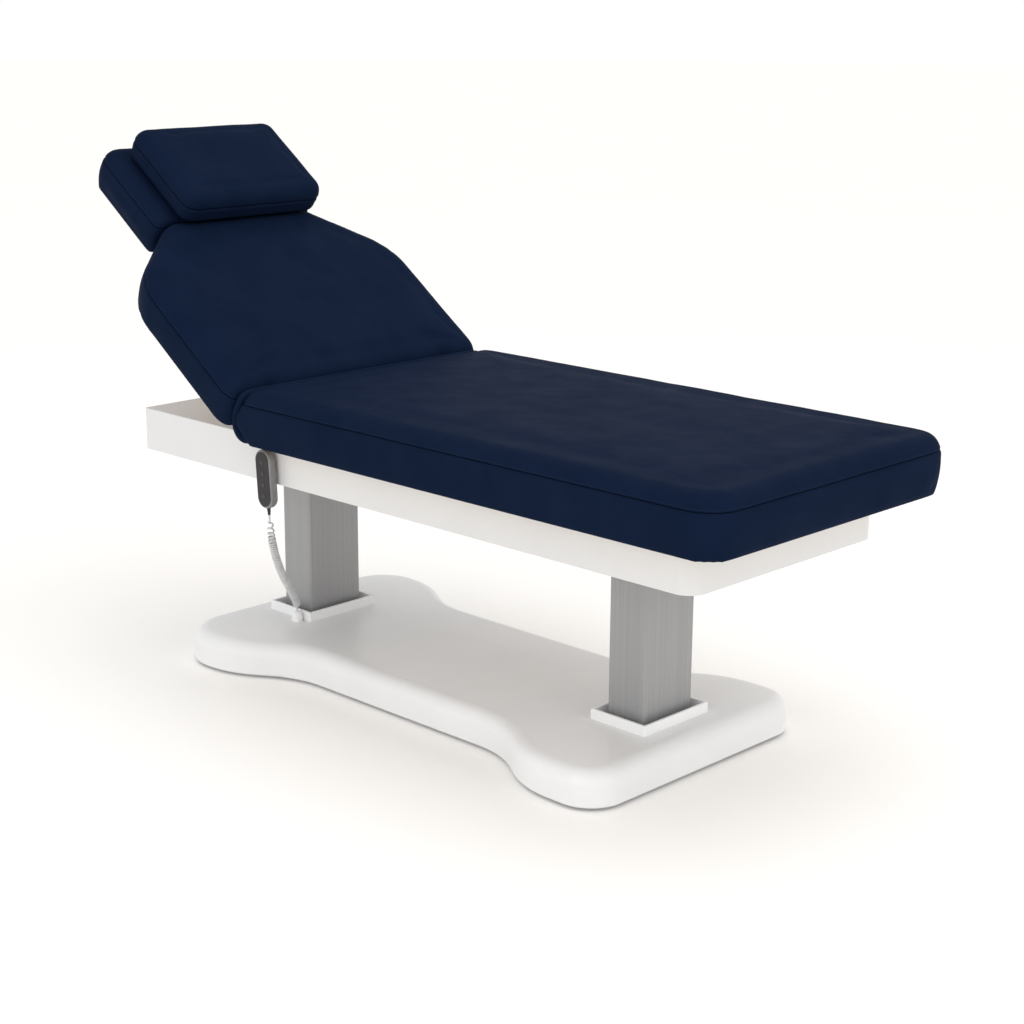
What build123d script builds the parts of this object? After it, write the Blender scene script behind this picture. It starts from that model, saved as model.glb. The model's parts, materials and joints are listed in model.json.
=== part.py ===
"""Electric treatment table: two lifting columns on an hourglass base, a raising backrest, a hinged
headrest with a loose pillow, and a wired handset. Millimetres, +Z up, +X to the foot end, -Y is the
handset side, and the floor is z = 0."""
import os
from math import atan2, cos, radians, sin, tan

from build123d import *

os.makedirs("parts", exist_ok=True)


def save(part, node):
    part.label = node
    export_step(part, f"parts/{node}.step")


# ---------------------------------------------------------------- driving dimensions
table_width = 760.0          # upholstery, side to side
seat_length = 1306.0
seat_thickness = 128.0
back_length = 570.0
pad_thickness = 112.0        # backrest and headrest upholstery
headrest_length = 270.0
headrest_width = 456.0
frame_width = 598.0          # white skirt, side to side
frame_height = 99.0
column_spacing = 1060.0
column_height = 402.0        # from the base top to the skirt's lower edge, table down
base_height = 85.0
base_overhang = 148.0        # base end beyond a column's centre
lobe_width = 684.0
waist_width = 486.0
back_angle = 35.4            # backrest above level, as stored
back_travel = 65.0           # backrest from flat to fully raised
lift_stroke = 300.0

running = 0.05               # radial clearance of a pin in its bore
seam = 0.2                   # clearance round a board set into its upholstery
board = 15.0                 # plywood
steel = 3.0                  # tube and sheet walls

# ---------------------------------------------------------------- levels and stations
frame_bottom = base_height + column_height
frame_top = frame_bottom + frame_height
seat_top = frame_top + seat_thickness

pivot_depth = 28.0           # backrest pivot below the top of the upholstery
pivot_inset = 12.0           # and in from the backrest's end
pad_gap = 3.0                # seat to the nearest sweep of the backrest's end
seat_to_column = 190.0       # seat's head end, footward of the head column's centre
angle = radians(back_angle)
edge_round = 10.0            # lower edges of the upholstery

pivot_from_column = seat_to_column - pad_gap - pivot_depth
head_end = back_length + 8 + headrest_length
head_reach = ((head_end - edge_round - pivot_inset) * cos(angle) + edge_round
              + (pad_thickness - edge_round - pivot_depth) * sin(angle))
foot_reach = seat_to_column + seat_length
# the bounding box is centred on x = 0
head_column_x = (head_reach - pivot_from_column - foot_reach) / 2
foot_column_x = head_column_x + column_spacing
column_xs = {"head": head_column_x, "foot": foot_column_x}
base_x = (head_column_x + foot_column_x) / 2
seat_head_x = head_column_x + seat_to_column
seat_foot_x = seat_head_x + seat_length
frame_head_x = head_column_x - 290
frame_foot_x = seat_foot_x - 94
pivot_x = head_column_x + pivot_from_column
pivot_z = seat_top - pivot_depth
pivot = Vector(pivot_x, 0, pivot_z)

along_back = Vector(-cos(angle), 0, sin(angle))
off_back = Vector(sin(angle), 0, cos(angle))
# local x runs up the backrest from its hinge end, local z stands off its top surface
back_top = Plane(pivot - along_back * pivot_inset + off_back * pivot_depth,
                 x_dir=along_back, z_dir=off_back)


def back_side(y):
    """Upright section in the backrest's own directions: x up the backrest, y off its surface."""
    return Plane(back_top.origin + Vector(0, y, 0), x_dir=along_back, z_dir=(0, 1, 0))


def table_side(x, y, z):
    """Upright section in the table's directions: x to the foot end, y up."""
    return Plane((x, y, z), x_dir=(1, 0, 0), z_dir=(0, -1, 0))


# the actuator's rod slides along a fixed line and its cross pin works in an open, oversize slot
# in the backrest's fork, square to the rod when the backrest is half way up
fork_arm = 110.0             # pivot to the rod's line
fork_flat_lean = 4.0         # slot footward of plumb when the backrest is flat
rod_ratio = 1.08             # rod travel over fork_arm, per radian of backrest
rod_slope = radians(back_travel / 2 - fork_flat_lean)
past_middle = radians(back_angle - back_travel / 2)
rod_line = Vector(-cos(rod_slope), 0, sin(rod_slope))
pin_centre = (pivot + Vector(-sin(rod_slope), 0, -cos(rod_slope)) * fork_arm
              + rod_line * (fork_arm * tan(past_middle)))
rod_back = fork_arm * rod_ratio * angle        # rod travel from flat to the stored pose
actuator_closed = 300.0                        # eye to eye, backrest flat
actuator_eye = pin_centre - rod_line * (rod_back + actuator_closed)


# ---------------------------------------------------------------- shared shapes
def bar(start, direction, length, wide, tall, wall=steel):
    """Rectangular tube, its lower face centred on start."""
    across = Vector(0, 0, 1).cross(Vector(*direction))
    with BuildPart() as tube:
        with BuildSketch(Plane(start, x_dir=across, z_dir=direction)):
            with Locations((0, tall / 2)):
                RectangleRounded(wide, tall, wall)
                Rectangle(wide - 2 * wall, tall - 2 * wall, mode=Mode.SUBTRACT)
        extrude(amount=length)
    return tube.part


def soft_block(plane, outline, thickness, recess, top_round):
    """Upholstery hanging down from its top plane, with its board's recess underneath."""
    with BuildPart() as pad:
        with BuildSketch(plane.offset(-thickness)):
            add(outline)
        extrude(amount=thickness)
        faces = pad.faces().filter_by(Axis(plane.origin, plane.z_dir)).sort_by(
            Axis(plane.origin, plane.z_dir))
        fillet(faces[-1].edges(), top_round)
        fillet(faces[0].edges(), edge_round)
        with BuildSketch(plane.offset(-thickness)):
            add(recess)
        extrude(amount=board + seam, mode=Mode.SUBTRACT)
    return pad


# ---------------------------------------------------------------- base
foot_gap = 6.0               # cover's lower edge above the floor
cover_wall = 4.0
lobe_length = 195.0
shoulder_length = 150.0      # along X, between lobe and waist
shoulder_round = 240.0
head_corner = 116.0
foot_corner = 82.0
base_top_round = 36.0
base_lower_round = 6.0
base_length = column_spacing + 2 * base_overhang
cover_top_inside = base_height - cover_wall

rail_bottom = 18.0
rail_height = 45.0
rail_top = rail_bottom + rail_height
base_rail_width = 40.0
base_rail_y = 100.0
crossbar_width = 50.0
crossbar_setback = 25.0      # crossbar's outer face from the base end
crossbar_length = 560.0
foot_y = 250.0

collar_length = 151.0        # along X
collar_width = 208.0
collar_height = 22.6
collar_wall = 7.0
collar_lip = 2.0


def hourglass(inset=0.0):
    half_length = base_length / 2
    lobe_in = half_length - lobe_length
    quarter = [(half_length, lobe_width / 2), (lobe_in, lobe_width / 2),
               (lobe_in - shoulder_length, waist_width / 2)]
    upper = quarter + [(-x, y) for x, y in reversed(quarter)]
    with BuildSketch() as plan:
        with BuildLine():
            Polyline(*upper, *[(x, -y) for x, y in reversed(upper)], close=True)
        make_face()
        fillet(plan.vertices().filter_by(lambda v: abs(v.X) < half_length - 1), shoulder_round)
        fillet(plan.vertices().group_by(Axis.X)[0], head_corner)
        fillet(plan.vertices().group_by(Axis.X)[-1], foot_corner)
        if inset:
            offset(amount=-inset)
    return plan.sketch


cover_base = Plane((base_x, 0, foot_gap))
column_places = [(x - base_x, 0) for x in column_xs.values()]
post_places = GridLocations(base_length - 2 * crossbar_setback - crossbar_width, 360, 2, 2)

with BuildPart() as cavity:
    with BuildSketch(cover_base):
        add(hourglass(cover_wall))
    extrude(amount=cover_top_inside - foot_gap)
    fillet(cavity.edges().group_by(Axis.Z)[-1], base_top_round - cover_wall)

inlet_z = 32.0
inlet_width = 28.0
inlet_height = 21.0
gland_radius = 13.0
gland_height = 24.0
spigot_radius = 5.0
gland_place = (head_column_x + 43, -(collar_width / 2 + gland_radius + 1))

with BuildPart() as base_cover:
    with BuildSketch(cover_base):
        add(hourglass())
    extrude(amount=base_height - foot_gap)
    fillet(base_cover.edges().group_by(Axis.Z)[-1], base_top_round)
    fillet(base_cover.edges().group_by(Axis.Z)[0], base_lower_round)
    add(cavity.part, mode=Mode.SUBTRACT)
    with BuildSketch(Plane((base_x, 0, cover_top_inside))):
        with Locations(*column_places):
            Rectangle(collar_length - 2 * (collar_wall - collar_lip),
                      collar_width - 2 * (collar_wall - collar_lip))
        with Locations((gland_place[0] - base_x, gland_place[1])):
            Circle(spigot_radius + seam)
    extrude(amount=cover_wall, mode=Mode.SUBTRACT)
    with BuildSketch(Plane((base_x, 0, rail_top))):
        with post_places:
            Circle(8)
    extrude(amount=cover_top_inside - rail_top)
    with BuildSketch(Plane((base_x - base_length / 2, 0, inlet_z), x_dir=(0, -1, 0),
                           z_dir=(-1, 0, 0))):
        Rectangle(inlet_width, inlet_height)
    extrude(amount=-cover_wall, mode=Mode.SUBTRACT)
save(base_cover.part, "base_cover")

crossbar_x = base_length / 2 - crossbar_setback - crossbar_width / 2
rail_start = base_x - crossbar_x + crossbar_width / 2
bolt_spacing_x = 124.0
bolt_hole = 4.5

for side, y in (("near", -base_rail_y), ("far", base_rail_y)):
    with BuildPart() as base_rail:
        add(bar((rail_start, y, rail_bottom), (1, 0, 0), 2 * (base_x - rail_start),
                base_rail_width, rail_height))
        with BuildSketch(Plane((base_x, y, rail_top))):
            with Locations(*column_places):
                with GridLocations(bolt_spacing_x, 0, 2, 1):
                    Circle(bolt_hole)
        extrude(amount=-steel - 1, mode=Mode.SUBTRACT)
    save(base_rail.part, f"base_rail_{side}")

stud_radius = 5.0
for end, x in (("head", base_x - crossbar_x), ("foot", base_x + crossbar_x)):
    with BuildPart() as crossbar:
        add(bar((x, -crossbar_length / 2, rail_bottom), (0, 1, 0), crossbar_length,
                crossbar_width, rail_height))
        with BuildSketch(Plane((x, 0, rail_bottom))):
            with GridLocations(0, 2 * foot_y, 1, 2):
                Circle(stud_radius + 0.3)
        extrude(amount=steel + 1, mode=Mode.SUBTRACT)
    save(crossbar.part, f"base_crossbar_{end}")

with BuildPart() as levelling_feet:
    for spot in GridLocations(2 * crossbar_x, 2 * foot_y, 2, 2).local_locations:
        x, y = base_x + spot.position.X, spot.position.Y
        with BuildSketch(Plane((x, y, 0))):
            Circle(22)
        extrude(amount=9)
        with BuildSketch(Plane((x, y, 9))):
            Circle(stud_radius)
        extrude(amount=35)
        with BuildSketch(Plane((x, y, 11))):
            RegularPolygon(9, 6)
        extrude(amount=rail_bottom - 11)
    fillet(levelling_feet.edges().filter_by(GeomType.CIRCLE).group_by(Axis.Z)[0], 1.5)
save(levelling_feet.part, "levelling_feet")

with BuildPart() as mains_inlet:
    inlet_face = Plane((base_x - base_length / 2, 0, inlet_z), x_dir=(0, -1, 0), z_dir=(-1, 0, 0))
    with BuildSketch(inlet_face):
        RectangleRounded(inlet_width + 9, inlet_height + 9, 3)
    extrude(amount=2)
    with BuildSketch(inlet_face):
        Rectangle(inlet_width - 2 * seam, inlet_height - 2 * seam)
    extrude(amount=3 - crossbar_setback)
    with BuildSketch(inlet_face.offset(2)):
        RectangleRounded(inlet_width - 5, inlet_height - 5, 2)
    extrude(amount=-18, mode=Mode.SUBTRACT)
    with BuildSketch(inlet_face.offset(-16)):
        with GridLocations(7, 0, 3, 1):
            Rectangle(2, 5)
    extrude(amount=12)
save(mains_inlet.part, "mains_inlet")

with BuildPart() as control_box:
    with BuildSketch(Plane((base_x, 0, 20))):
        RectangleRounded(260, 2 * base_rail_y - base_rail_width - 12, 6)
    extrude(amount=rail_top - 20)
    with BuildSketch(Plane((base_x, 0, rail_top))):
        RectangleRounded(200, 2 * base_rail_y + 30, 4)
    extrude(amount=2.5)
save(control_box.part, "control_box")

with BuildPart() as cord_gland:
    with BuildSketch(Plane((*gland_place, base_height))):
        Circle(gland_radius)
    extrude(amount=gland_height)
    fillet(cord_gland.edges().group_by(Axis.Z)[-1], gland_radius - 2.6)
    with BuildSketch(Plane((*gland_place, base_height - 10))):
        Circle(spigot_radius)
    extrude(amount=10)
save(cord_gland.part, "cord_gland")

# ---------------------------------------------------------------- lifting columns
tube_length_x = 102.0
tube_width_y = 157.0
tube_wall = 3.0
tube_corner = 8.0
stage_gap = 3.0              # between one stage's inside and the next one's outside
glide = stage_gap - 0.15     # low-friction pads in that gap
flange = 8.0
outer_top = frame_top - 26
middle_top = outer_top + 6
saddle = 8.0                 # plate that carries the frame on a column
saddle_length = 104.0
spindle_radius = 9.0
nut_height = 25.0
inner_bottom = rail_top + flange + 14
middle_bottom = inner_bottom - 7


def stage_section(step):
    """Outside size of a stage: 0 is the fixed outer tube, 1 the middle and 2 the inner."""
    shrink = 2 * step * (tube_wall + stage_gap)
    return tube_length_x - shrink, tube_width_y - shrink, tube_corner - 2 * step


def stage_tube(x, step, bottom, top):
    wide, deep, corner = stage_section(step)
    with BuildPart() as tube:
        with BuildSketch(Plane((x, 0, bottom))):
            RectangleRounded(wide, deep, corner)
            RectangleRounded(wide - 2 * tube_wall, deep - 2 * tube_wall, corner - tube_wall,
                             mode=Mode.SUBTRACT)
        extrude(amount=top - bottom)
    return tube.part


def glide_pads(step, bottom, height):
    """Four pads per column that line the gap outside stage `step`."""
    wide, deep, _ = stage_section(step)
    grip = stage_gap if step == 1 else 0    # outer pads hang on the outer tube's wall
    with BuildPart() as pads:
        for x in column_xs.values():
            for sx, sy in ((1, 0), (-1, 0), (0, 1), (0, -1)):
                mid_x = wide / 2 + (grip - glide / 2 if grip else glide / 2)
                mid_y = deep / 2 + (grip - glide / 2 if grip else glide / 2)
                with BuildSketch(Plane((x + sx * mid_x, sy * mid_y, bottom))):
                    Rectangle(glide if sx else 40, glide if sy else 60)
                extrude(amount=height)
    return pads.part


for end, x in column_xs.items():
    with BuildPart() as outer_tube:
        add(stage_tube(x, 0, rail_top, outer_top))
        with BuildSketch(Plane((x, 0, rail_top))):
            RectangleRounded(190, 260, 6)
            Circle(spindle_radius + 2, mode=Mode.SUBTRACT)
            with GridLocations(bolt_spacing_x, 2 * base_rail_y, 2, 2):
                Circle(bolt_hole, mode=Mode.SUBTRACT)
        extrude(amount=flange)
    save(outer_tube.part, f"outer_tube_{end}")

    save(stage_tube(x, 1, middle_bottom, middle_top), f"middle_tube_{end}")

    with BuildPart() as inner_tube:
        add(stage_tube(x, 2, inner_bottom, frame_top - saddle))
        with BuildSketch(Plane((x, 0, frame_top - saddle))):
            Rectangle(saddle_length, frame_width - 14)
        extrude(amount=saddle)
    save(inner_tube.part, f"inner_tube_{end}")

    with BuildPart() as collar:
        with BuildSketch(Plane((x, 0, base_height))):
            RectangleRounded(collar_length, collar_width, 3)
            RectangleRounded(collar_length - 2 * collar_wall, collar_width - 2 * collar_wall, 1,
                             mode=Mode.SUBTRACT)
        extrude(amount=collar_height)
        fillet(collar.faces().sort_by(Axis.Z)[-1].edges(), 1.5)
        lip_out = collar_wall - collar_lip + seam
        with BuildSketch(Plane((x, 0, base_height - 8))):
            Rectangle(collar_length - 2 * lip_out, collar_width - 2 * lip_out)
            Rectangle(collar_length - 2 * collar_wall, collar_width - 2 * collar_wall,
                      mode=Mode.SUBTRACT)
        extrude(amount=8)
    save(collar.part, f"collar_{end}")

    inward = 1 if end == "head" else -1
    with BuildPart() as lift_motor:
        with BuildSketch(Plane((x, 0, 20))):
            RectangleRounded(70, 90, 6)
        extrude(amount=rail_top - 20)
        with BuildSketch(Plane((x + 35 * inward, 0, 42), x_dir=(0, 1, 0), z_dir=(inward, 0, 0))):
            Circle(20)
        extrude(amount=110)
    save(lift_motor.part, f"lift_motor_{end}")

    with BuildPart() as spindle:
        with BuildSketch(Plane((x, 0, rail_top))):
            Circle(spindle_radius)
        extrude(amount=outer_top - 35 - rail_top)
        chamfer(spindle.edges().group_by(Axis.Z)[-1], 2)
    save(spindle.part, f"spindle_{end}")

save(glide_pads(1, outer_top - 60, 50), "outer_glides")
save(glide_pads(2, inner_bottom + 5, 50), "inner_glides")

with BuildPart() as spindle_nuts:
    wide, deep, corner = stage_section(2)
    for x in column_xs.values():
        with BuildSketch(Plane((x, 0, inner_bottom))):
            RectangleRounded(wide - 2 * tube_wall, deep - 2 * tube_wall, corner - tube_wall)
            Circle(spindle_radius + running, mode=Mode.SUBTRACT)
        extrude(amount=nut_height)
save(spindle_nuts.part, "spindle_nuts")

with BuildPart() as column_bolts:
    for x in column_xs.values():
        with BuildSketch(Plane((x, 0, rail_top + flange))):
            with GridLocations(bolt_spacing_x, 2 * base_rail_y, 2, 2):
                RegularPolygon(7.5, 6)
        extrude(amount=5.3)
        with BuildSketch(Plane((x, 0, rail_top + flange))):
            with GridLocations(bolt_spacing_x, 2 * base_rail_y, 2, 2):
                Circle(bolt_hole - 0.5)
        extrude(amount=-flange - steel - 8)
save(column_bolts.part, "column_bolts")

# ---------------------------------------------------------------- upper frame
skirt = 3.0
skirt_return = 15.0          # lower edge turned in
skirt_corner = 40.0          # at the foot end
side_rail_width = 30.0
side_rail_height = 60.0
side_rail_top = frame_top - saddle
side_rail_bottom = side_rail_top - side_rail_height
side_rail_y = frame_width / 2 - skirt - 4 - side_rail_width / 2
frame_length = frame_foot_x - frame_head_x
frame_mid_x = (frame_foot_x + frame_head_x) / 2

for side, y in (("near", -side_rail_y), ("far", side_rail_y)):
    save(bar((frame_head_x + 20, y, side_rail_bottom), (1, 0, 0), frame_length - 70,
             side_rail_width, side_rail_height), f"frame_rail_{side}")

between_rails = 2 * side_rail_y - side_rail_width
for spot, x in (("head", frame_head_x + 45), ("centre", actuator_eye.X),
                ("foot", (foot_column_x + saddle_length / 2 + frame_foot_x) / 2)):
    save(bar((x, -between_rails / 2, side_rail_bottom), (0, 1, 0), between_rails,
             40, side_rail_height), f"frame_crossbar_{spot}")


def skirt_outline(inset=0.0):
    with BuildSketch() as plan:
        with Locations((frame_mid_x, 0)):
            Rectangle(frame_length - 2 * inset, frame_width - 2 * inset)
        fillet(plan.vertices().group_by(Axis.X)[-1], skirt_corner - inset)
    return plan.sketch


def skirt_piece(low_x, high_x, low_y, high_y):
    """The part of the turned-in skirt that lies in a plan rectangle."""
    window = Plane(((low_x + high_x) / 2, (low_y + high_y) / 2, frame_bottom))
    with BuildPart() as piece:
        for lip, height in ((skirt, frame_height), (skirt_return, skirt)):
            with BuildSketch(Plane.XY.offset(frame_bottom)):
                add(skirt_outline())
                add(skirt_outline(lip), mode=Mode.SUBTRACT)
            extrude(amount=height)
        with BuildSketch(window):
            Rectangle(high_x - low_x, high_y - low_y)
        extrude(amount=frame_height, mode=Mode.INTERSECT)
    return piece.part


half_frame = frame_width / 2
head_joint = frame_head_x + 16
foot_joint = frame_foot_x - 60
save(skirt_piece(head_joint, foot_joint, -half_frame, 0), "fascia_near")
save(skirt_piece(head_joint, foot_joint, 0, half_frame), "fascia_far")
save(skirt_piece(frame_head_x, head_joint, -half_frame, half_frame), "fascia_head")
save(skirt_piece(foot_joint, frame_foot_x, -half_frame, half_frame), "fascia_foot")

# white lid of the frame under the backrest: a tongue runs on between the hinge arms, and a
# notch lets the backrest's fork and the actuator rod through
lid = 2.0
lid_step = pivot_x - 34
lid_end = pivot_x + 26
notch_length = 165.0
notch_width = 84.0
with BuildPart() as head_tray:
    with BuildSketch(Plane.XY.offset(frame_top)):
        with Locations(((frame_head_x + lid_step) / 2, 0)):
            Rectangle(lid_step - frame_head_x, frame_width)
        with Locations(((frame_head_x + lid_end) / 2, 0)):
            Rectangle(lid_end - frame_head_x, between_rails - 6)
        with Locations((lid_end - notch_length / 2, 0)):
            Rectangle(notch_length, notch_width, mode=Mode.SUBTRACT)
    extrude(amount=lid)
    fillet(head_tray.edges().filter_by(Axis.Z).group_by(Axis.X)[0], 2)
save(head_tray.part, "head_tray")

# ---------------------------------------------------------------- seat
board_inset = edge_round + 2  # keeps the board's recess off the rounded lower edge
seat_foot_corner = 65.0
seat_head_corner = 30.0
top_edge_round = 26.0


def seat_outline(inset=0.0):
    with BuildSketch() as plan:
        with Locations(((seat_head_x + seat_foot_x) / 2, 0)):
            Rectangle(seat_length - 2 * inset, table_width - 2 * inset)
        fillet(plan.vertices().group_by(Axis.X)[-1], seat_foot_corner - inset)
        fillet(plan.vertices().group_by(Axis.X)[0], seat_head_corner - inset)
    return plan.sketch


seat_plane = Plane.XY.offset(seat_top)
with BuildPart() as seat_board:
    with BuildSketch(Plane.XY.offset(frame_top)):
        add(seat_outline(board_inset))
    extrude(amount=board)
save(seat_board.part, "seat_board")

seat_pad = soft_block(seat_plane, seat_outline(), seat_thickness,
                      seat_outline(board_inset - seam), top_edge_round)
save(seat_pad.part, "seat_pad")

# ---------------------------------------------------------------- backrest
neck_width = 430.0
shoulder_start = 405.0       # corner of side and shoulder, up the backrest
neck_run = 10.0              # straight side of the neck before the headrest
shoulder_end = back_length - neck_run
shoulder_corner = 165.0
shoulder_turn = atan2((table_width - neck_width) / 2, shoulder_end - shoulder_start)
neck_corner = 0.86 * neck_run / tan(shoulder_turn / 2)
back_corner = 30.0
piping_radius = 9.0
piping_room = 2 * piping_radius + 0.3
arm_thickness = 8.0
arm_width = 28.0             # at its foot on the side rail
arm_head = 9.5               # radius round the pivot, clear of the piping
pin_radius = 5.0             # hinge and actuator pins
hinge_y = side_rail_y - 3    # middle of an arm
slot_low = hinge_y - 16.5    # notch in board and pad, from here outwards
slot_width = 27.0
slot_depth = pivot_inset + arm_head + 9.5


def back_outline(inset=0.0, start=0.0):
    half, neck = table_width / 2, neck_width / 2
    side = [(start, half), (shoulder_start, half), (shoulder_end, neck), (back_length, neck)]
    with BuildSketch() as plan:
        with BuildLine():
            Polyline(*side, *[(x, -y) for x, y in reversed(side)], close=True)
        make_face()
        corners = plan.vertices()
        fillet(corners.filter_by(lambda v: abs(v.X - shoulder_start) < 1), shoulder_corner)
        fillet(plan.vertices().filter_by(lambda v: abs(v.X - shoulder_end) < 1), neck_corner)
        fillet(plan.vertices().filter_by(lambda v: abs(v.X - start) < 1), back_corner)
        if inset:
            offset(amount=-inset, kind=Kind.INTERSECTION)
    return plan.sketch


def hinge_slots():
    with BuildSketch() as slots:
        for side in (-1, 1):
            with Locations((slot_depth / 2 - 1, side * (slot_low + slot_width / 2))):
                Rectangle(slot_depth + 2, slot_width)
    return slots.sketch


with BuildPart() as backrest_board:
    with BuildSketch(back_top.offset(-pad_thickness)):
        add(back_outline(board_inset, piping_room))
        add(hinge_slots(), mode=Mode.SUBTRACT)
    extrude(amount=board)
save(backrest_board.part, "backrest_board")

pad_body = soft_block(back_top, back_outline(start=piping_room), pad_thickness,
                      back_outline(board_inset - seam, piping_room), top_edge_round)
with BuildPart() as backrest_pad:
    add(pad_body.part)
    with BuildSketch(back_top.offset(-pad_thickness)):
        add(hinge_slots())
    extrude(amount=pad_thickness - pivot_depth + arm_head + 6, mode=Mode.SUBTRACT)
save(backrest_pad.part, "backrest_pad")

with BuildPart() as backrest_piping:
    with BuildSketch(back_side(back_corner - table_width / 2)):
        with Locations((piping_radius, -piping_radius)):
            Circle(piping_radius)
    extrude(amount=table_width - 2 * back_corner)
save(backrest_piping.part, "backrest_piping")

# ---------------------------------------------------------------- backrest hinge
plate_y = hinge_y - arm_thickness - 4
plate_foot = 8.0
foot_plate_length = 62.0
foot_plate_width = 66.0
with BuildPart() as hinge_arms:
    for side in (-1, 1):
        foot = side_rail_top - pivot_z
        with BuildSketch(table_side(pivot_x, side * hinge_y, pivot_z)):
            Circle(arm_head)
            with BuildLine():
                Polyline((-arm_width / 2, foot), (arm_width / 2, foot), (arm_head, 0),
                         (-arm_head, 0), close=True)
            make_face()
            Circle(pin_radius + running, mode=Mode.SUBTRACT)
        extrude(amount=arm_thickness / 2, both=True)
save(hinge_arms.part, "hinge_arms")

with BuildPart() as hinge_plates:
    under = -pad_thickness - plate_foot
    for side in (-1, 1):
        with BuildSketch(back_side(side * plate_y)):
            with Locations((pivot_inset, -pivot_depth)):
                Circle(arm_head)
            with Locations((pivot_inset, (under - pivot_depth) / 2)):
                Rectangle(2 * arm_head, -pivot_depth - under)
        extrude(amount=arm_thickness / 2, both=True)
        with BuildSketch(back_top.offset(under)):
            with Locations((foot_plate_length / 2 - 2,
                            side * (plate_y + (arm_thickness - foot_plate_width) / 2))):
                Rectangle(foot_plate_length, foot_plate_width)
        extrude(amount=plate_foot)
        with BuildSketch(back_side(side * (hinge_y - 4))):
            with Locations((pivot_inset, -pivot_depth)):
                Circle(pin_radius)
        extrude(amount=12, both=True)
save(hinge_plates.part, "hinge_plates")

# ---------------------------------------------------------------- backrest drive
fork_y = 21.0
fork_plate = 8.0
slot_half = pin_radius + 3
slot_line = (pin_centre - pivot).normalized()
slot_end = fork_arm / cos(radians(back_travel / 2))
with BuildPart() as backrest_fork:
    under = -pad_thickness
    for side in (-1, 1):
        with BuildSketch(back_side(side * fork_y)):
            with BuildLine():
                Polyline((-13, under), (90, under), (60, under - 38), (24, under - 53),
                         (-13, under - 53), close=True)
            make_face()
        extrude(amount=fork_plate / 2, both=True)
    with BuildSketch(back_top.offset(under - 6)):
        with Locations((38.5, 0)):
            Rectangle(103, 90)
    extrude(amount=6)
    with BuildSketch(Plane(pivot, x_dir=slot_line, z_dir=(0, 1, 0))):
        with Locations((slot_end, 0)):
            SlotCenterToCenter(2 * (slot_end - fork_arm + 1.5), 2 * slot_half)
    extrude(amount=fork_y + fork_plate, both=True, mode=Mode.SUBTRACT)
save(backrest_fork.part, "backrest_fork")

rod_radius = 10.0
rod_length = 215.0
with BuildPart() as actuator_rod:
    with BuildSketch(Plane(pin_centre, x_dir=(0, 1, 0), z_dir=-rod_line)):
        Circle(rod_radius)
    extrude(amount=rod_length)
    for radius, half_length in ((14, 14), (pin_radius, fork_y + fork_plate)):
        with BuildSketch(table_side(pin_centre.X, 0, pin_centre.Z)):
            Circle(radius)
        extrude(amount=half_length, both=True)
save(actuator_rod.part, "actuator_rod")


def along_actuator(distance):
    return Plane(actuator_eye + rod_line * distance, x_dir=(0, 1, 0), z_dir=rod_line)


case_start, tube_start, bush_start, tube_end = 45.0, 75.0, 245.0, 265.0
with BuildPart() as actuator_housing:
    with BuildSketch(along_actuator(tube_start)):
        Circle(22)
    extrude(amount=tube_end - tube_start)
    with BuildSketch(along_actuator(tube_start)):
        Circle(rod_radius + 4)
    extrude(amount=bush_start - tube_start, mode=Mode.SUBTRACT)
    with BuildSketch(along_actuator(bush_start)):
        Circle(rod_radius + running)
    extrude(amount=tube_end - bush_start, mode=Mode.SUBTRACT)
    with BuildSketch(along_actuator(case_start)):
        with Locations((21.5, 0)):
            RectangleRounded(93, 50, 6)
    extrude(amount=tube_start - case_start)
    with BuildSketch(along_actuator(tube_start)):
        with Locations((46, 0)):
            Circle(20)
    extrude(amount=110)
    with BuildSketch(along_actuator(0)):
        Rectangle(28, 24)
    extrude(amount=case_start)
    with BuildSketch(table_side(actuator_eye.X, 0, actuator_eye.Z)):
        Circle(16)
    extrude(amount=14, both=True)
    with BuildSketch(table_side(actuator_eye.X, 0, actuator_eye.Z)):
        Circle(pin_radius + running)
    extrude(amount=14, both=True, mode=Mode.SUBTRACT)
save(actuator_housing.part, "actuator_housing")

with BuildPart() as actuator_bracket:
    plate_top = side_rail_bottom - 6
    for side in (-1, 1):
        with BuildSketch(table_side(actuator_eye.X, side * 18, actuator_eye.Z)):
            Circle(18)
            with Locations((0, (plate_top - actuator_eye.Z) / 2)):
                Rectangle(36, plate_top - actuator_eye.Z)
        extrude(amount=3, both=True)
    with BuildSketch(Plane((actuator_eye.X, 0, plate_top))):
        Rectangle(40, 80)
    extrude(amount=6)
    with BuildSketch(table_side(actuator_eye.X, 0, actuator_eye.Z)):
        Circle(pin_radius)
    extrude(amount=24, both=True)
save(actuator_bracket.part, "actuator_bracket")

# ---------------------------------------------------------------- headrest and pillow
headrest_start = back_length + 8
headrest_mid = (headrest_start + head_end) / 2


def headrest_outline(inset=0.0):
    with BuildSketch() as plan:
        with Locations((headrest_mid, 0)):
            Rectangle(headrest_length - 2 * inset, headrest_width - 2 * inset)
        fillet(plan.vertices().group_by(Axis.X)[-1], 34 - inset)
        fillet(plan.vertices().group_by(Axis.X)[0], 16 - inset)
    return plan.sketch


with BuildPart() as headrest_board:
    with BuildSketch(back_top.offset(-pad_thickness)):
        add(headrest_outline(board_inset))
    extrude(amount=board)
save(headrest_board.part, "headrest_board")

headrest_pad = soft_block(back_top, headrest_outline(), pad_thickness,
                          headrest_outline(board_inset - seam), top_edge_round)
save(headrest_pad.part, "headrest_pad")

knuckle_radius = 6.0
knuckle_length = 23.0
leaf = 3.0
headrest_pin = 3.0
neck_axis = (back_length + 4, -pad_thickness - knuckle_radius)
hinge_spots = (-120, 120)


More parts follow.
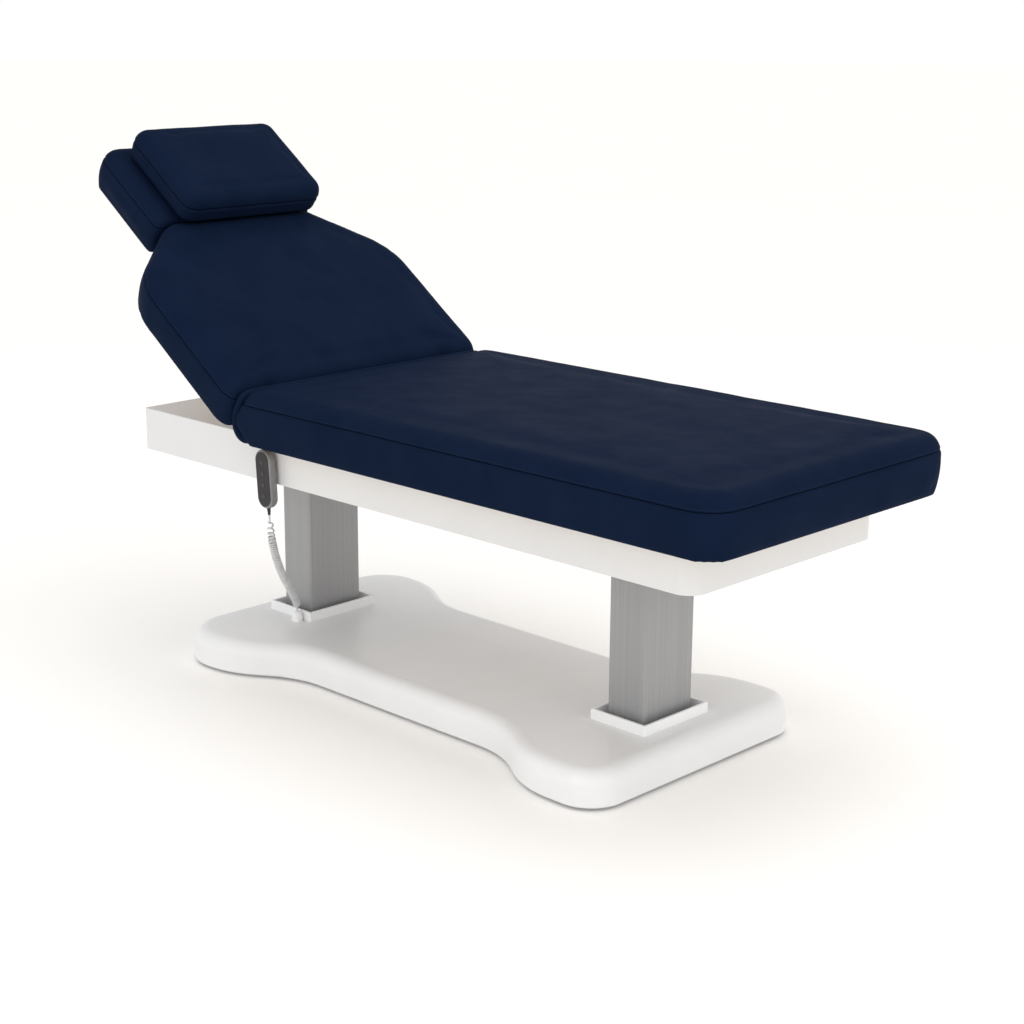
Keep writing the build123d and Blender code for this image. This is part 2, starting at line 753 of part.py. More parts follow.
def neck_cylinder(y, radius, half_length):
    """Cylinder on the headrest's hinge line, centred on y."""
    with BuildPart() as rod:
        with BuildSketch(back_side(y)):
            with Locations(neck_axis):
                Circle(radius)
        extrude(amount=half_length, both=True)
    return rod.part


with BuildPart() as headrest_hinges:
    for y in hinge_spots:
        with BuildSketch(back_top.offset(-pad_thickness - leaf)):
            with Locations((neck_axis[0] - 27, y)):
                Rectangle(54, 3 * knuckle_length + 1)
            with Locations((neck_axis[0], y)):
                Rectangle(16, knuckle_length + 1, mode=Mode.SUBTRACT)
        extrude(amount=leaf)
        for side in (-1, 1):
            add(neck_cylinder(y + side * (knuckle_length + 0.5), knuckle_radius,
                              knuckle_length / 2))
        add(neck_cylinder(y, headrest_pin + running, 2 * knuckle_length), mode=Mode.SUBTRACT)
save(headrest_hinges.part, "headrest_hinges")

with BuildPart() as headrest_hinge_pins:
    for y in hinge_spots:
        with BuildSketch(back_top.offset(-pad_thickness - leaf)):
            with Locations((neck_axis[0] + 30, y)):
                Rectangle(44, 3 * knuckle_length + 1)
            with Locations((neck_axis[0] + 6, y)):
                Rectangle(12, knuckle_length)
        extrude(amount=leaf)
        add(neck_cylinder(y, knuckle_radius, knuckle_length / 2))
        add(neck_cylinder(y, headrest_pin, 1.5 * knuckle_length))
save(headrest_hinge_pins.part, "headrest_hinge_pins")

pillow_length = 270.0
pillow_width = 410.0
pillow_height = 85.0
with BuildPart() as pillow:
    with BuildSketch(back_top.offset(0.3)):
        with Locations((headrest_mid - 33, 0)):
            RectangleRounded(pillow_length, pillow_width, 30)
    extrude(amount=pillow_height)
    ends = pillow.faces().filter_by(Axis((0, 0, 0), off_back)).sort_by(
        Axis((0, 0, 0), off_back))
    fillet(ends[-1].edges(), 28)
    fillet(ends[0].edges(), 18)
save(pillow.part, "pillow")

# ---------------------------------------------------------------- handset
handset_length = 135.0
handset_width = 52.0
handset_depth = 20.0
handset_tilt = radians(4)
handset_off = 7.0            # its back from the skirt
panel = 1.2
button_radius = 5.5
button_hole = 5.8
button_spots = {"height_up": 39, "height_down": 13, "back_up": -13, "back_down": -39}
handset_plane = Plane((head_column_x + 188, -half_frame, frame_bottom + 13),
                      x_dir=(cos(handset_tilt), 0, sin(handset_tilt)), z_dir=(0, -1, 0))

with BuildPart() as handset_body:
    with BuildSketch(handset_plane.offset(handset_off)):
        SlotOverall(handset_length, handset_width, rotation=90)
    extrude(amount=handset_depth)
    fillet(handset_body.edges().group_by(Axis.Y)[0], 4)
    fillet(handset_body.edges().group_by(Axis.Y)[-1], 5)
    with BuildSketch(handset_plane.offset(handset_off + handset_depth)):
        with Locations(*[(0, y) for y in button_spots.values()]):
            Circle(button_hole)
    extrude(amount=-4, mode=Mode.SUBTRACT)
save(handset_body.part, "handset_body")

with BuildPart() as handset_face:
    with BuildSketch(handset_plane.offset(handset_off + handset_depth)):
        SlotOverall(handset_length - 9, handset_width - 9, rotation=90)
        with Locations(*[(0, y) for y in button_spots.values()]):
            Circle(button_hole, mode=Mode.SUBTRACT)
    extrude(amount=panel)
save(handset_face.part, "handset_face")

for key, y in button_spots.items():
    with BuildPart() as button:
        with BuildSketch(handset_plane.offset(handset_off + handset_depth - 2.6)):
            with Locations((0, y)):
                Circle(button_radius)
        extrude(amount=2.6 + panel + 0.8)
        fillet(button.edges().group_by(Axis.Y)[0], 0.5)
    save(button.part, f"button_{key}")

with BuildPart() as handset_hook:
    with BuildSketch(handset_plane):
        with Locations((0, 22)):
            RectangleRounded(30, 40, 4)
    extrude(amount=3)
    with BuildSketch(handset_plane.offset(3)):
        with Locations((0, 26)):
            Circle(7)
    extrude(amount=handset_off - 3)
save(handset_hook.part, "handset_hook")

relief_length = 16.0
with BuildPart() as handset_strain_relief:
    relief = Plane(handset_plane.from_local_coords((0, -handset_length / 2,
                                                    handset_off + handset_depth / 2)),
                   x_dir=handset_plane.x_dir, z_dir=-handset_plane.y_dir)
    with BuildSketch(relief):
        Circle(4.5)
    with BuildSketch(relief.offset(relief_length)):
        Circle(3)
    loft()
save(handset_strain_relief.part, "handset_strain_relief")

# ---------------------------------------------------------------- curly cord
cord_radius = 2.25
curl_radius = 9.5
# route from the handset's strain relief to the gland, x counted from the head column
cord_points = [Vector(head_column_x + x, y, z) for x, y, z in (
    (193.82, -316.0, 416.70), (195.63, -316.0, 390.76), (186, -303, 345), (160, -270, 290),
    (127, -226, 236), (92, -178, 188), (62, -138, 146), (43, -118, 126), (43, -118, 109))]
curl_start = cord_points[1] + (cord_points[2] - cord_points[1]) * 0.3
curl_end = cord_points[6] + (cord_points[7] - cord_points[6]) * 0.35


def cord_tube(points, radius):
    runs = [b - a for a, b in zip(points, points[1:])]
    bends = []
    for before, after in zip(runs, runs[1:]):
        half_turn = radians(before.get_angle(after)) / 2
        bends.append(0.45 * min(before.length, after.length) / tan(half_turn))
    print("cord bend radii, tube radius", radius, [round(bend, 1) for bend in bends])
    with BuildPart() as tube:
        with BuildLine() as path:
            FilletPolyline(*points, radius=bends)
        with BuildSketch(Plane(path.line @ 0, z_dir=path.line % 0)):
            Circle(radius)
        sweep()
    return tube.part


with BuildPart() as curly_cord:
    add(cord_tube([*cord_points[:2], curl_start], cord_radius))
    add(cord_tube([curl_start, *cord_points[2:7], curl_end], curl_radius))
    add(cord_tube([curl_end, *cord_points[7:]], cord_radius))
save(curly_cord.part, "curly_cord")
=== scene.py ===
import json
import math

import bpy
import numpy as np
from mathutils import Matrix, Vector, noise
from mathutils.bvhtree import BVHTree
from mathutils.kdtree import KDTree


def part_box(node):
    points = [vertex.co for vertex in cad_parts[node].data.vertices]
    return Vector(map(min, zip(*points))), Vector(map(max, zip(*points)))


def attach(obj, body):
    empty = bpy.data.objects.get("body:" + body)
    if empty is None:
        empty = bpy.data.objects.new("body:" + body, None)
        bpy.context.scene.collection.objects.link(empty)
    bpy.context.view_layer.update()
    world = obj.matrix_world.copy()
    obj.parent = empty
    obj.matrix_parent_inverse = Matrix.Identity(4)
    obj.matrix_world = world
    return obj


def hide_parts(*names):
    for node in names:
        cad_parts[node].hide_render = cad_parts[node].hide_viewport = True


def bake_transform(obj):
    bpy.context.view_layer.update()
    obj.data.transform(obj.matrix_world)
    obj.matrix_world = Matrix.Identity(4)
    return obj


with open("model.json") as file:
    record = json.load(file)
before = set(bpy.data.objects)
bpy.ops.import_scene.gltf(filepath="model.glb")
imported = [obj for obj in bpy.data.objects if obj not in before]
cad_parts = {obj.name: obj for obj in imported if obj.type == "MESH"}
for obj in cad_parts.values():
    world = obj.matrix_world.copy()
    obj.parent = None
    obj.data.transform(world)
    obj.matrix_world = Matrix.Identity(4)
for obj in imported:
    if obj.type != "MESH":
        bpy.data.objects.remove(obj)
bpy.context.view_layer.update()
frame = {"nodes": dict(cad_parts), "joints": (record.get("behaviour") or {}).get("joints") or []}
print("frame loaded")


# small helpers

def pickOnly(piece):
    bpy.ops.object.select_all(action="DESELECT")
    piece.select_set(True)
    bpy.context.view_layer.objects.active = piece


def editAll(piece):
    pickOnly(piece)
    bpy.ops.object.mode_set(mode="EDIT")
    bpy.ops.mesh.select_all(action="SELECT")


def leaveEdit():
    bpy.ops.object.mode_set(mode="OBJECT")


def applyModifier(piece, kind, **settings):
    modifier = piece.modifiers.new(kind.lower(), kind)
    for key, value in settings.items():
        setattr(modifier, key, value)
    pickOnly(piece)
    bpy.ops.object.modifier_apply(modifier=modifier.name)


def pointsOf(mesh):
    flat = np.empty(len(mesh.vertices) * 3)
    mesh.vertices.foreach_get("co", flat)
    return flat.reshape(-1, 3)


def setPoints(mesh, points):
    mesh.vertices.foreach_set("co", np.asarray(points, float).ravel())
    mesh.update()


def normalsOf(mesh):
    flat = np.empty(len(mesh.vertices) * 3)
    mesh.vertices.foreach_get("normal", flat)
    return flat.reshape(-1, 3)


def keepAttribute(mesh, name, values):
    layer = mesh.attributes.get(name) or mesh.attributes.new(name, "FLOAT", "POINT")
    layer.data.foreach_set("value", np.asarray(values, np.float32))


def eased(value, low, high):
    share = np.clip((value - low) / (high - low), 0, 1)
    return share * share * (3 - 2 * share)


# camera, lights and floor

cameraSetup = {"place": (3.0889, -2.9939, 1.5743), "yaw": 44.11, "pitch": 15.07,
               "roll": 0.37, "lens": 68.72}


def placeCamera(values):
    yaw, pitch, roll = (math.radians(values[k]) for k in ("yaw", "pitch", "roll"))
    back = Vector((math.sin(yaw) * math.cos(pitch), -math.cos(yaw) * math.cos(pitch),
                   math.sin(pitch)))
    level = Vector((math.cos(yaw), math.sin(yaw), 0))
    plumb = back.cross(level)
    right = level * math.cos(roll) + plumb * math.sin(roll)
    up = plumb * math.cos(roll) - level * math.sin(roll)
    data = bpy.data.cameras.new("tableCamera")
    data.lens = values["lens"]
    data.sensor_width = 36
    data.clip_end = 100
    camera = bpy.data.objects.new("tableCamera", data)
    bpy.context.scene.collection.objects.link(camera)
    turn = Matrix((right, up, back)).transposed().to_4x4()
    camera.matrix_world = Matrix.Translation(values["place"]) @ turn
    bpy.context.scene.camera = camera


placeCamera(cameraSetup)

studio = {"sky": 1.0, "floorTone": (0.90, 0.885, 0.86), "floorGlow": 0.11,
          "lamps": (("overheadSoftbox", (0.9, 0.4, 3.4), (0, 0, 0.3), 3.0, 18),
                    ("nearSoftbox", (0.6, -4.4, 1.9), (0, 0, 0.5), 2.8, 22),
                    ("footSoftbox", (4.8, -0.2, 1.8), (0, 0, 0.4), 2.4, 18))}


def lightStudio(values):
    world = bpy.data.worlds.new("studioAir")
    world.use_nodes = True
    sky = world.node_tree.nodes["Background"]
    sky.inputs["Color"].default_value = (1, 1, 1, 1)
    sky.inputs["Strength"].default_value = values["sky"]
    bpy.context.scene.world = world
    for name, place, aim, size, power in values["lamps"]:
        data = bpy.data.lights.new(name, "AREA")
        data.shape = "DISK"
        data.size = size
        data.energy = power
        lamp = bpy.data.objects.new(name, data)
        bpy.context.scene.collection.objects.link(lamp)
        facing = (Vector(aim) - Vector(place)).to_track_quat("-Z", "Y")
        lamp.matrix_world = Matrix.Translation(place) @ facing.to_matrix().to_4x4()
    bpy.context.scene.view_settings.view_transform = "Standard"


lightStudio(studio)
print("camera and lights placed")


# shader groups shared by the finishes

def startGroup(name, inputs, outputs):
    group = bpy.data.node_groups.new(name, "ShaderNodeTree")
    for label, kind, value in inputs:
        socket = group.interface.new_socket(label, in_out="INPUT", socket_type=kind)
        if value is not None:
            socket.default_value = value
    for label in outputs:
        group.interface.new_socket(label, in_out="OUTPUT", socket_type="NodeSocketFloat")
    return group, group.nodes.new("NodeGroupInput"), group.nodes.new("NodeGroupOutput")


def mathNode(tree, operation, first, second=None, third=None, clamp=False):
    node = tree.nodes.new("ShaderNodeMath")
    node.operation = operation
    node.use_clamp = clamp
    for socket, value in zip(node.inputs, (first, second, third)):
        if value is None:
            continue
        if isinstance(value, (int, float)):
            socket.default_value = value
        else:
            tree.links.new(value, socket)
    return node.outputs[0]


def noiseNode(tree, vector, scale, detail=3.0):
    node = tree.nodes.new("ShaderNodeTexNoise")
    tree.links.new(vector, node.inputs["Vector"])
    if isinstance(scale, (int, float)):
        node.inputs["Scale"].default_value = scale
    else:
        tree.links.new(scale, node.inputs["Scale"])
    node.inputs["Detail"].default_value = detail
    return node.outputs[0]


def rangeNode(tree, value, low, high, newLow, newHigh):
    node = tree.nodes.new("ShaderNodeMapRange")
    tree.links.new(value, node.inputs["Value"])
    for label, number in (("From Min", low), ("From Max", high),
                          ("To Min", newLow), ("To Max", newHigh)):
        if isinstance(number, (int, float)):
            node.inputs[label].default_value = number
        else:
            tree.links.new(number, node.inputs[label])
    return node.outputs["Result"]


def makeHideGrain():  # pebbled leather grain with fine pores
    group, given, made = startGroup(
        "hideGrain", (("Vector", "NodeSocketVector", None), ("Scale", "NodeSocketFloat", 420)),
        ("Height", "Tone"))
    cells = group.nodes.new("ShaderNodeTexVoronoi")
    cells.feature = "DISTANCE_TO_EDGE"
    group.links.new(given.outputs["Vector"], cells.inputs["Vector"])
    group.links.new(given.outputs["Scale"], cells.inputs["Scale"])
    pebble = rangeNode(group, cells.outputs["Distance"], 0.0, 0.35, 0.0, 1.0)
    pores = noiseNode(group, given.outputs["Vector"],
                      mathNode(group, "MULTIPLY", given.outputs["Scale"], 1.7))
    height = mathNode(group, "MULTIPLY_ADD", pores, 0.45, mathNode(group, "MULTIPLY", pebble, 0.55))
    broad = noiseNode(group, given.outputs["Vector"],
                      mathNode(group, "MULTIPLY", given.outputs["Scale"], 0.02), 4)
    tone = mathNode(group, "MULTIPLY_ADD", pebble, 0.22, mathNode(group, "MULTIPLY", broad, 0.78))
    group.links.new(height, made.inputs["Height"])
    group.links.new(tone, made.inputs["Tone"])
    return group


def makeSewnSeam():  # painted shade line along the seam groove, with a row of thread beside it
    group, given, made = startGroup(
        "sewnSeam", (("Offset", "NodeSocketFloat", 1.0), ("Along", "NodeSocketFloat", 0.0),
                     ("Half Width", "NodeSocketFloat", 0.0011),
                     ("Stitch Offset", "NodeSocketFloat", 0.0048)),
        ("Line", "Thread", "Height"))
    away = mathNode(group, "ABSOLUTE", given.outputs["Offset"])
    # the groove mask darkens the colour as painted shade and also sinks the bump
    line = rangeNode(group, away, mathNode(group, "MULTIPLY", given.outputs["Half Width"], 0.4),
                     given.outputs["Half Width"], 1.0, 0.0)
    row = mathNode(group, "ABSOLUTE", mathNode(group, "SUBTRACT", given.outputs["Offset"],
                                               given.outputs["Stitch Offset"]))
    thread = rangeNode(group, row, 0.0003, 0.0007, 1.0, 0.0)
    beat = mathNode(group, "FRACT", mathNode(group, "DIVIDE", given.outputs["Along"], 0.0055))
    dash = mathNode(group, "LESS_THAN", mathNode(group, "ABSOLUTE", mathNode(
        group, "SUBTRACT", beat, 0.5)), 0.36)
    stitches = mathNode(group, "MULTIPLY", thread, dash)
    height = mathNode(group, "SUBTRACT", mathNode(group, "MULTIPLY", stitches, 0.5), line)
    group.links.new(line, made.inputs["Line"])
    group.links.new(stitches, made.inputs["Thread"])
    group.links.new(height, made.inputs["Height"])
    return group


def makeSurfaceDrift():  # slow uneven patches and fine skin of a hard finish
    group, given, made = startGroup(
        "surfaceDrift", (("Vector", "NodeSocketVector", None),
                         ("Patch Scale", "NodeSocketFloat", 6),
                         ("Skin Scale", "NodeSocketFloat", 320)), ("Patch", "Skin"))
    group.links.new(noiseNode(group, given.outputs["Vector"], given.outputs["Patch Scale"], 5),
                    made.inputs["Patch"])
    group.links.new(noiseNode(group, given.outputs["Vector"], given.outputs["Skin Scale"], 2),
                    made.inputs["Skin"])
    return group


hideGrain = makeHideGrain()
sewnSeam = makeSewnSeam()
surfaceDrift = makeSurfaceDrift()


# finishes

def startMaterial(name):
    material = bpy.data.materials.new(name)
    material.use_nodes = True
    tree = material.node_tree
    shader = tree.nodes["Principled BSDF"]
    place = tree.nodes.new("ShaderNodeTexCoord").outputs["Object"]
    return material, tree, shader, place


def placeGroup(tree, group, **given):
    node = tree.nodes.new("ShaderNodeGroup")
    node.node_tree = group
    for label, value in given.items():
        socket = node.inputs[label.replace("_", " ")]
        if isinstance(value, (int, float)):
            socket.default_value = value
        else:
            tree.links.new(value, socket)
    return node


def mixColours(tree, share, first, second):
    node = tree.nodes.new("ShaderNodeMix")
    node.data_type = "RGBA"
    for index, value in ((0, share), (6, first), (7, second)):
        if isinstance(value, (tuple, list)):
            node.inputs[index].default_value = (*value, 1)
        elif isinstance(value, (int, float)):
            node.inputs[index].default_value = value
        else:
            tree.links.new(value, node.inputs[index])
    return node.outputs[2]


def bumpInto(tree, shader, height, strength, depth):
    bump = tree.nodes.new("ShaderNodeBump")
    bump.inputs["Strength"].default_value = strength
    bump.inputs["Distance"].default_value = depth
    tree.links.new(height, bump.inputs["Height"])
    tree.links.new(bump.outputs["Normal"], shader.inputs["Normal"])


def hardFinish(name, tone, otherTone, roughLow, roughHigh, metal=0.0, coat=0.0, patch=6.0,
               skin=320.0, stretch=(1, 1, 1), strength=0.12, depth=0.0004):
    material, tree, shader, place = startMaterial(name)
    mapping = tree.nodes.new("ShaderNodeMapping")
    mapping.inputs["Scale"].default_value = stretch
    tree.links.new(place, mapping.inputs["Vector"])
    drift = placeGroup(tree, surfaceDrift, Vector=mapping.outputs["Vector"],
                       Patch_Scale=patch, Skin_Scale=skin)
    blendShare = rangeNode(tree, drift.outputs["Patch"], 0.35, 0.65, 0.0, 1.0)
    tree.links.new(mixColours(tree, blendShare, tone, otherTone), shader.inputs["Base Color"])
    rough = rangeNode(tree, drift.outputs["Skin"], 0.3, 0.7, roughLow, roughHigh)
    tree.links.new(rough, shader.inputs["Roughness"])
    shader.inputs["Metallic"].default_value = metal
    shader.inputs["Coat Weight"].default_value = coat
    shader.inputs["Coat Roughness"].default_value = 0.2
    bumpInto(tree, shader, drift.outputs["Skin"], strength, depth)
    return material


# line is a painted shade colour for the seam groove; deep, raised and thread are the cover's own
# colours
upholsteryLook = {"deep": (0.0046, 0.0105, 0.0295), "raised": (0.0070, 0.0142, 0.0370),
                  "line": (0.0008, 0.0018, 0.0052), "thread": (0.0100, 0.0200, 0.0480),
                  "grain": 560, "roughLow": 0.50, "roughHigh": 0.66}


def upholsteryFinish(name, values):
    material, tree, shader, place = startMaterial(name)
    grain = placeGroup(tree, hideGrain, Vector=place, Scale=values["grain"])
    offset = tree.nodes.new("ShaderNodeAttribute")
    offset.attribute_name = "seamOffset"
    along = tree.nodes.new("ShaderNodeAttribute")
    along.attribute_name = "seamAlong"
    seam = placeGroup(tree, sewnSeam, Offset=offset.outputs["Fac"], Along=along.outputs["Fac"])
    share = rangeNode(tree, grain.outputs["Tone"], 0.25, 0.8, 0.0, 1.0)
    cloth = mixColours(tree, share, values["deep"], values["raised"])
    # the seam groove gets painted shade on top of the grain colour
    sewn = mixColours(tree, seam.outputs["Line"], cloth, values["line"])
    tree.links.new(mixColours(tree, seam.outputs["Thread"], sewn, values["thread"]),
                   shader.inputs["Base Color"])
    rough = rangeNode(tree, grain.outputs["Tone"], 0.2, 0.8, values["roughHigh"],
                      values["roughLow"])
    tree.links.new(rough, shader.inputs["Roughness"])
    shader.inputs["Specular IOR Level"].default_value = 0.008
    shader.inputs["Sheen Weight"].default_value = 0.002
    shader.inputs["Sheen Roughness"].default_value = 0.45
    shader.inputs["Sheen Tint"].default_value = (0.45, 0.6, 1.0, 1)
    height = mathNode(tree, "MULTIPLY_ADD", seam.outputs["Height"], 1.6, grain.outputs["Height"])
    bumpInto(tree, shader, height, 0.35, 0.0005)
    return material


def plywoodFinish(name):
    material, tree, shader, place = startMaterial(name)
    mapping = tree.nodes.new("ShaderNodeMapping")
    mapping.inputs["Scale"].default_value = (1.2, 16, 16)
    tree.links.new(place, mapping.inputs["Vector"])
    figure = noiseNode(tree, mapping.outputs["Vector"], 5, 6)
    share = rangeNode(tree, figure, 0.35, 0.65, 0.0, 1.0)
    tree.links.new(mixColours(tree, share, (0.42, 0.27, 0.14), (0.60, 0.43, 0.25)),
                   shader.inputs["Base Color"])
    tree.links.new(rangeNode(tree, figure, 0.3, 0.7, 0.62, 0.8), shader.inputs["Roughness"])
    bumpInto(tree, shader, figure, 0.25, 0.0006)
    return material


upholstery = upholsteryFinish("navyUpholstery", upholsteryLook)
finishes = {
    "baseWhite": hardFinish("baseWhite", (0.80, 0.80, 0.80), (0.83, 0.83, 0.83), 0.34, 0.46,
                            coat=0.12, patch=5, skin=210, strength=0.10, depth=0.0005),
    "skirtWhite": hardFinish("skirtWhite", (0.71, 0.71, 0.71), (0.73, 0.73, 0.73), 0.30, 0.40,
                             coat=0.15, patch=4, skin=380, strength=0.07, depth=0.0003),
    # the head tray shares the skirt's white paint; this darker copy is painted shade from the
    # raised backrest over it
    "lidWhitePaintedShade": hardFinish("lidWhitePaintedShade", (0.57, 0.57, 0.575), (0.60, 0.60, 0.605), 0.42, 0.52,
                           patch=5, skin=380, strength=0.08, depth=0.0003),
    "columnSatin": hardFinish("columnSatin", (0.33, 0.33, 0.335), (0.36, 0.36, 0.365), 0.40, 0.48,
                              metal=0.35, patch=0.8, skin=2.2, stretch=(260, 260, 1.2),
                              strength=0.05, depth=0.0002),
    "innerSatin": hardFinish("innerSatin", (0.46, 0.46, 0.465), (0.50, 0.50, 0.505), 0.28, 0.40,
                             metal=0.7, patch=3, skin=2.2, stretch=(260, 260, 1.2),
                             strength=0.14, depth=0.0003),
    "collarWhite": hardFinish("collarWhite", (0.93, 0.93, 0.935), (0.95, 0.95, 0.955), 0.40, 0.52,
                              patch=18, skin=700, strength=0.12, depth=0.0002),
    "frameSteel": hardFinish("frameSteel", (0.055, 0.057, 0.060), (0.075, 0.077, 0.080), 0.46,
                             0.62, metal=0.1, patch=9, skin=500, strength=0.2, depth=0.0004),
    "motorGrey": hardFinish("motorGrey", (0.10, 0.105, 0.11), (0.13, 0.135, 0.14), 0.5, 0.62,
                            patch=12, skin=900, strength=0.18, depth=0.0002),
    "brightSteel": hardFinish("brightSteel", (0.62, 0.62, 0.63), (0.70, 0.70, 0.71), 0.16, 0.30,
                              metal=1.0, patch=10, skin=900, strength=0.06, depth=0.0001),
    "nutBronze": hardFinish("nutBronze", (0.42, 0.27, 0.12), (0.50, 0.33, 0.16), 0.3, 0.45,
                            metal=0.9, patch=14, skin=600, strength=0.1, depth=0.0002),
    "glideWhite": hardFinish("glideWhite", (0.66, 0.66, 0.62), (0.72, 0.72, 0.68), 0.4, 0.5,
                             patch=14, skin=600, strength=0.08, depth=0.0002),
    "hingeSteel": hardFinish("hingeSteel", (0.30, 0.30, 0.31), (0.38, 0.38, 0.39), 0.3, 0.46,
                             metal=0.85, patch=11, skin=700, strength=0.12, depth=0.0002),
    "handsetGrey": hardFinish("handsetGrey", (0.20, 0.20, 0.205), (0.25, 0.25, 0.255), 0.3, 0.42,
                              metal=0.25, patch=30, skin=1100, strength=0.15, depth=0.0001),
    "handsetFront": hardFinish("handsetFront", (0.012, 0.010, 0.012), (0.016, 0.014, 0.016),
                               0.50, 0.60, patch=30, skin=1300, strength=0.12, depth=0.0001),
    "buttonRubber": hardFinish("buttonRubber", (0.036, 0.033, 0.036), (0.045, 0.042, 0.045), 0.55,
                               0.68, patch=50, skin=1500, strength=0.1, depth=0.0001),
    "cordJacket": hardFinish("cordJacket", (0.56, 0.56, 0.57), (0.64, 0.64, 0.65), 0.36, 0.5,
                             patch=40, skin=1400, strength=0.1, depth=0.0001),
    "footRubber": hardFinish("footRubber", (0.018, 0.018, 0.018), (0.03, 0.03, 0.03), 0.6, 0.78,
                             patch=40, skin=900, strength=0.25, depth=0.0003),
    "plywood": plywoodFinish("plywood"),
}
nodeFinish = {
    "baseWhite": ["base_cover"],
    "skirtWhite": ["fascia_near", "fascia_far", "fascia_head", "fascia_foot"],
    "lidWhitePaintedShade": ["head_tray"],
    "columnSatin": ["outer_tube_head", "outer_tube_foot"],
    "innerSatin": ["middle_tube_head", "middle_tube_foot", "inner_tube_head", "inner_tube_foot"],
    "collarWhite": ["collar_head", "collar_foot", "cord_gland"],
    "frameSteel": ["base_rail_near", "base_rail_far", "base_crossbar_head", "base_crossbar_foot",
                   "frame_rail_near", "frame_rail_far", "frame_crossbar_head",
                   "frame_crossbar_centre", "frame_crossbar_foot", "actuator_bracket"],
    "motorGrey": ["lift_motor_head", "lift_motor_foot", "control_box", "actuator_housing",
                  "mains_inlet"],
    "brightSteel": ["spindle_head", "spindle_foot", "actuator_rod", "column_bolts"],
    "nutBronze": ["spindle_nuts"],
    "glideWhite": ["outer_glides", "inner_glides"],
    "hingeSteel": ["hinge_arms", "hinge_plates", "backrest_fork", "headrest_hinges",
                   "headrest_hinge_pins"],
    "handsetGrey": ["handset_body", "handset_hook"],
    "handsetFront": ["handset_face", "handset_strain_relief"],
    "buttonRubber": ["button_height_up", "button_height_down", "button_back_up",
                     "button_back_down"],
    "footRubber": ["levelling_feet"],
    "plywood": ["seat_board", "backrest_board", "headrest_board"],
}
for finish, members in nodeFinish.items():
    for member in members:
        node = frame["nodes"][member]
        node.data.materials.clear()
        node.data.materials.append(finishes[finish])
print("finishes placed on the hard parts")


# floor

def layFloor(values):
    material, tree, shader, place = startMaterial("paleFloor")
    patches = noiseNode(tree, place, 0.8, 2)
    tree.links.new(mixColours(tree, patches, values["floorTone"],
                              tuple(1.01 * c for c in values["floorTone"])),
                   shader.inputs["Base Color"])
    shader.inputs["Roughness"].default_value = 0.9
    shader.inputs["Specular IOR Level"].default_value = 0.1
    shader.inputs["Emission Color"].default_value = (1, 1, 1, 1)
    shader.inputs["Emission Strength"].default_value = values["floorGlow"]
    bpy.ops.object.select_all(action="DESELECT")
    bpy.ops.mesh.primitive_circle_add(vertices=96, radius=40, fill_type="NGON",
                                      location=(0, 0, -0.0005))
    floor = bpy.context.active_object
    floor.name = "paleFloor"
    floor.data.materials.append(material)


layFloor(studio)


# curly cord from the handset to the base

cordSetup = {
    "jacket": 0.0043, "coilRadius": 0.0074, "loosePitch": 0.0150, "tightPitch": 0.0066,
    "turnPoints": 14, "looseRun": 0.05, "tail": 0.012, "length": 2.5,
    "route": [(-0.27060, -0.3160, 0.41670), (-0.26879, -0.3160, 0.39076),
              (-0.27842, -0.3030, 0.34500), (-0.30442, -0.2700, 0.29000),
              (-0.33742, -0.2260, 0.23600), (-0.37242, -0.1780, 0.18800),
              (-0.40242, -0.1380, 0.14600), (-0.42142, -0.1180, 0.12600),
              (-0.42142, -0.1180, 0.10900)],
}


def splineThrough(name, points, resolution):
    data = bpy.data.curves.new(name, "CURVE")
    data.dimensions = "3D"
    spline = data.splines.new("NURBS")
    spline.points.add(len(points) - 1)
    for knot, point in zip(spline.points, points):
        knot.co = (*point, 1)
    spline.order_u = 3
    spline.use_endpoint_u = True
    spline.resolution_u = resolution
    piece = bpy.data.objects.new(name, data)
    bpy.context.scene.collection.objects.link(piece)
    return piece


def lineOf(curvePiece):
    mesh = bpy.data.meshes.new_from_object(curvePiece)
    points = pointsOf(mesh)
    bpy.data.meshes.remove(mesh)
    return points


def curlAlong(line, values):
    steps = np.linalg.norm(np.diff(line, axis=0), axis=1)
    reach = np.concatenate([[0], np.cumsum(steps)])
    total = reach[-1]
    side = Vector((1, 0, 0))
    points, turned, at = [], 0.0, values["tail"]
    for lead in np.linspace(0, values["tail"], 6)[:-1]:
        points.append(Vector([np.interp(lead, reach, line[:, i]) for i in range(3)]))
    last = total - values["tail"]
    while at < last:
        here = Vector([np.interp(at, reach, line[:, i]) for i in range(3)])
        ahead = Vector([np.interp(min(at + 0.002, total), reach, line[:, i]) for i in range(3)])
        way = (ahead - here).normalized()
        side = (side - way * side.dot(way)).normalized()
        across = way.cross(side)
        swell = min(1.0, (at - values["tail"]) / 0.010, (last - at) / 0.008)
        loose = 1 - float(eased(at, values["looseRun"] * 0.5, values["looseRun"] * 1.6))
        radius = values["coilRadius"] * (swell * (1 - 0.12 * loose)
                                         + 0.05 * noise.noise(Vector((at * 90, 0, 0))))
        points.append(here + (side * math.cos(turned) + across * math.sin(turned)) * radius)
        pitch = values["tightPitch"] + (values["loosePitch"] - values["tightPitch"]) * loose
        turned += 2 * math.pi / values["turnPoints"]
        at += pitch / values["turnPoints"]
    for lead in np.linspace(last, total, 6)[1:]:
        points.append(Vector([np.interp(lead, reach, line[:, i]) for i in range(3)]))
    return points


